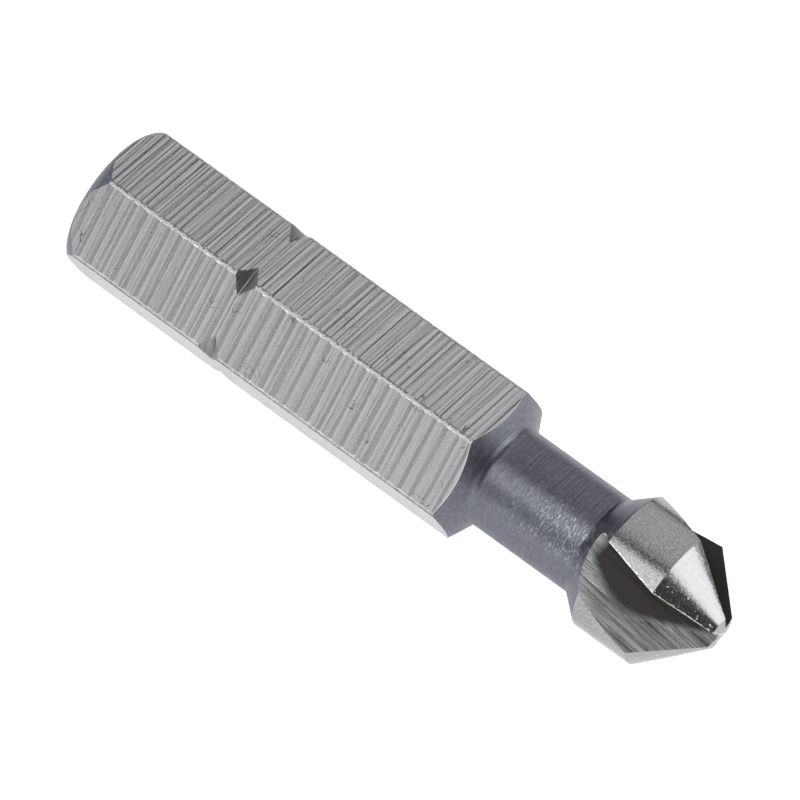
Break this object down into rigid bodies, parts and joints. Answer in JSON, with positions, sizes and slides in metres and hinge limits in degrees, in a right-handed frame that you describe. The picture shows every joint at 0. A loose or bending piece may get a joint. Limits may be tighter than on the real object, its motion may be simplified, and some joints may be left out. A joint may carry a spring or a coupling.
{
  "type": "countersink bit",
  "caption": "One-piece ground steel 90 degree countersink bit: fluted conical cutting head, slim neck and a notched quarter-inch hexagon shank.",
  "frame": {"origin": "on the bit's axis, in the plane of the tail end face of the hexagon shank", "axes": "+X along the axis from the tail to the cutting tip; +Z square to the hexagon flat opposite the one that the bit lies on; +Y completes the right-handed frame"},
  "size_m": [0.0318, 0.0072, 0.0064],
  "materials": {
    "ground_steel": "ground high-speed steel with cross grinding marks on the flats and bright ground lands"
  },
  "bodies": {
    "root": {"countersink_bit": "ground_steel"}
  },
  "joints": []
}
